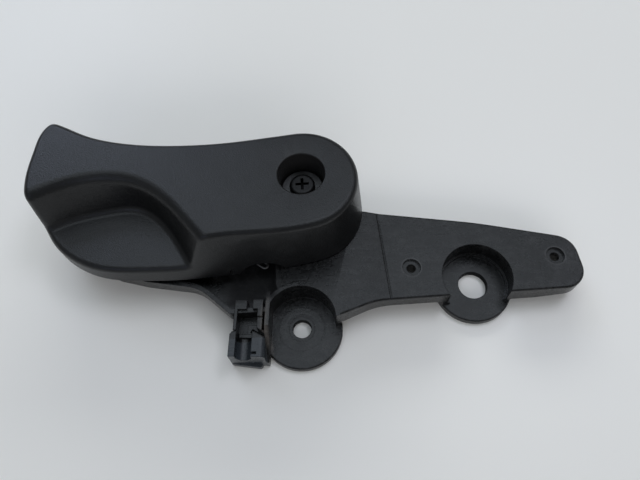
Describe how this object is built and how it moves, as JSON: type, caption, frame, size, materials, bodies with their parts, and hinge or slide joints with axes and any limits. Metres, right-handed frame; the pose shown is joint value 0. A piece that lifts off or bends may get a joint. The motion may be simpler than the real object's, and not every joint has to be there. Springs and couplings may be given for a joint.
{
  "type": "hood release handle",
  "caption": "Moulded lever with a finger scoop that turns on a bracket with fixing cups and a cable clip, to pull a hood latch cable.",
  "frame": {"origin": "on the axis of the left fixing hole, at the underside of the disc that lies on the car body", "axes": "+X along the bracket's arm towards the right fixing hole's end, +Y from the left fixing hole towards the pivot, +Z away from the car body"},
  "size_m": [0.2032, 0.0924, 0.0387],
  "materials": {
    "bracket_plastic": "satin black, lightly polished moulding",
    "lever_plastic": "satin black with a fine grain",
    "screw_steel": "dark zinc plating",
    "washer_steel": "dark zinc plating",
    "sleeve_steel": "turned steel",
    "spring_steel": "spring wire"
  },
  "bodies": {
    "bracket_body": {"base_bracket": "bracket_plastic", "pivot_screw": "screw_steel", "washer": "washer_steel", "pivot_sleeve": "sleeve_steel", "return_spring": "spring_steel"},
    "lever_body": {"lever": "lever_plastic"}
  },
  "joints": [
    {"name": "lever_pivot", "type": "hinge", "parent": "bracket_body", "child": "lever_body", "pos_m": [0.0038, 0.046, 0.0217], "axis": [0, 0, 1], "range_deg": [-40, 0], "stiffness_Nm_per_rad": 0.15, "springref_deg": 20.05, "deforming": ["return_spring"]}
  ]
}
